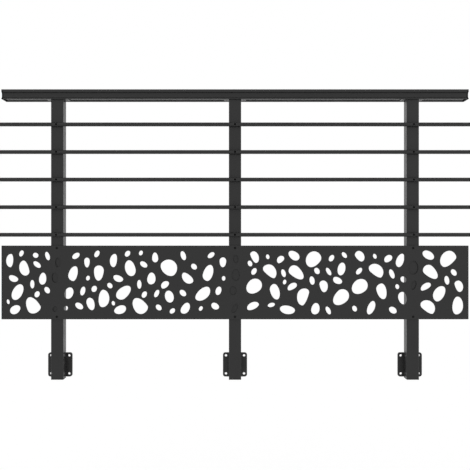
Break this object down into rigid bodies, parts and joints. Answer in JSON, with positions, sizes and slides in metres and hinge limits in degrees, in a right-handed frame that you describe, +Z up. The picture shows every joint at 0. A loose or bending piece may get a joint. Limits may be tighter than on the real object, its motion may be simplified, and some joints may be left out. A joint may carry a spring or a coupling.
{
  "type": "railing",
  "caption": "Aluminium railing with a grooved handrail, round bars and a pebble-cut panel on square posts with side-fixing plates.",
  "frame": {"origin": "middle of the back face of the middle foot plate, where it meets the wall", "axes": "+X along the railing to the right as seen from the front, +Y towards the wall, +Z up"},
  "size_m": [1.91, 0.0755, 1.183],
  "materials": {
    "powder_coat": "fine-textured dark grey powder coat, satin",
    "cap_plastic": "moulded dark grey plastic, matt",
    "washer_rubber": "black rubber"
  },
  "bodies": {
    "root": {"handrail": "powder_coat", "handrail_cap_left": "cap_plastic", "handrail_cap_right": "cap_plastic", "pebble_panel": "powder_coat", "post_left": "powder_coat", "post_cap_left": "cap_plastic", "foot_plate_left": "powder_coat", "head_plate_left": "powder_coat", "bar_saddles_left": "powder_coat", "panel_washers_left": "washer_rubber", "post_middle": "powder_coat", "post_cap_middle": "cap_plastic", "foot_plate_middle": "powder_coat", "head_plate_middle": "powder_coat", "bar_saddles_middle": "powder_coat", "panel_washers_middle": "washer_rubber", "post_right": "powder_coat", "post_cap_right": "cap_plastic", "foot_plate_right": "powder_coat", "head_plate_right": "powder_coat", "bar_saddles_right": "powder_coat", "panel_washers_right": "washer_rubber", "bar_1": "powder_coat", "bar_1_caps": "cap_plastic", "bar_2": "powder_coat", "bar_2_caps": "cap_plastic", "bar_3": "powder_coat", "bar_3_caps": "cap_plastic", "bar_4": "powder_coat", "bar_4_caps": "cap_plastic", "bar_5": "powder_coat", "bar_5_caps": "cap_plastic"}
  },
  "joints": []
}
